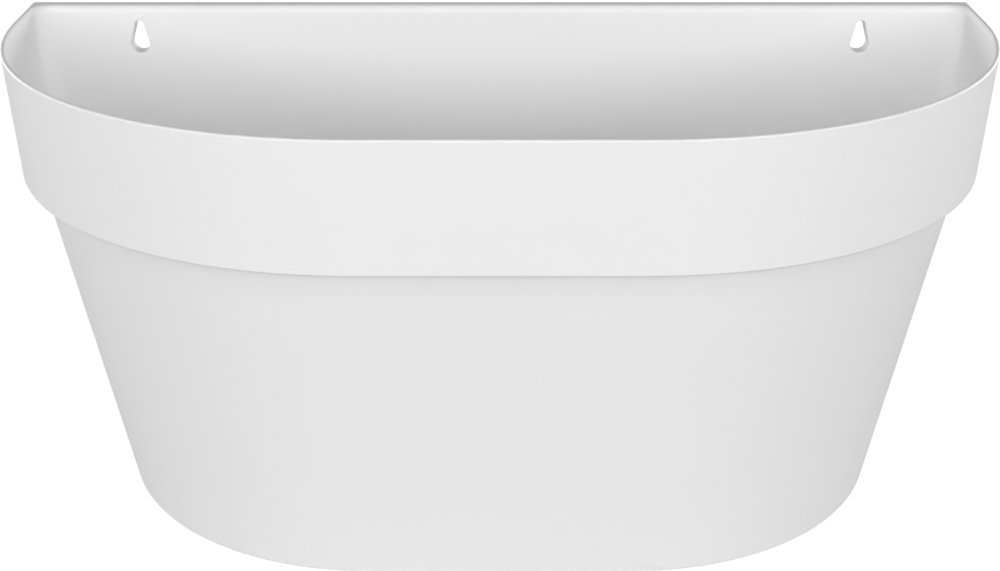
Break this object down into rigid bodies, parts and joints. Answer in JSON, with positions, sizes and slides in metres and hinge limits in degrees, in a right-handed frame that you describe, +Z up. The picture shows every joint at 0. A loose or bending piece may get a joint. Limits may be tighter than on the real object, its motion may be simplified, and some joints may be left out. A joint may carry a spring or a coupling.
{
  "type": "wall planter",
  "caption": "Half-oval wall planter: tapered body under a deep rim band, flat back with keyhole slots for wall screws, and push-in drain plugs in a raised floor.",
  "frame": {"origin": "on the wall plane, on the centre line, level with the underside of the foot rim", "axes": "+Y into the wall and square to it, so the rounded front faces -Y; +X along the wall; +Z up, towards the open rim"},
  "size_m": [0.4598, 0.2399, 0.2125],
  "materials": {
    "shell_plastic": "white satin moulded polypropylene, fine mould grain outside",
    "plug_rubber": "pale grey soft moulded rubber"
  },
  "bodies": {
    "shell": {"planter_shell": "shell_plastic"},
    "plug_left": {"drain_plug_left": "plug_rubber"},
    "plug_right": {"drain_plug_right": "plug_rubber"}
  },
  "joints": [
    {"name": "plug_left_pull", "type": "slide", "parent": "shell", "child": "plug_left", "axis": [0, 0, 1], "range_m": [0, 0.02]},
    {"name": "plug_right_pull", "type": "slide", "parent": "shell", "child": "plug_right", "axis": [0, 0, 1], "range_m": [0, 0.02]}
  ]
}
